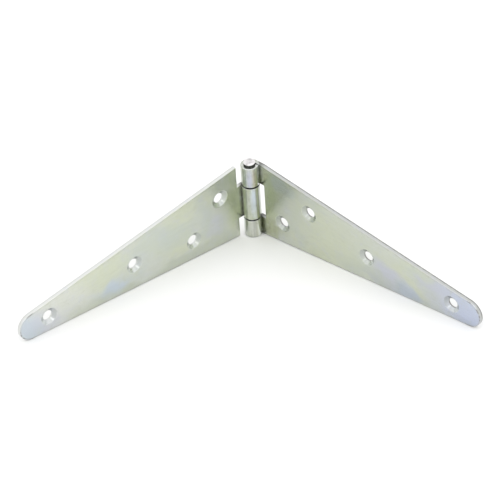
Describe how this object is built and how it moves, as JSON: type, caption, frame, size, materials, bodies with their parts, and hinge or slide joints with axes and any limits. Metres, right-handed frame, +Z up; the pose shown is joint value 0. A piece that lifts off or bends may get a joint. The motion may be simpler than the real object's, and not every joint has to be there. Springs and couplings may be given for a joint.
{
  "type": "strap hinge",
  "caption": "Strap hinge: tapered steel leaves with countersunk screw holes, rolled into knuckles on a headed pin, standing half open.",
  "frame": {"origin": "middle of the bounding box, on the surface the hinge stands on", "axes": "+X from the left leaf's side to the right leaf's side, +Y from the leaves' tips towards the barrel, +Z up; the barrel leans a few degrees towards -Y"},
  "size_m": [0.1928, 0.09, 0.0404],
  "materials": {
    "left_leaf_zinc": "zinc plate, semi-gloss, faintly clouded",
    "right_leaf_zinc": "zinc plate, semi-gloss, faintly clouded",
    "pin_zinc": "bright zinc plate"
  },
  "bodies": {
    "right_side": {"right_leaf": "right_leaf_zinc", "hinge_pin": "pin_zinc"},
    "left_side": {"left_leaf": "left_leaf_zinc"}
  },
  "joints": [
    {"name": "knuckle_hinge", "type": "hinge", "parent": "right_side", "child": "left_side", "pos_m": [0.00002, 0.03785, 0.01977], "axis": [0, -0.1661, 0.9861], "range_deg": [-184.9, 95.1]}
  ]
}
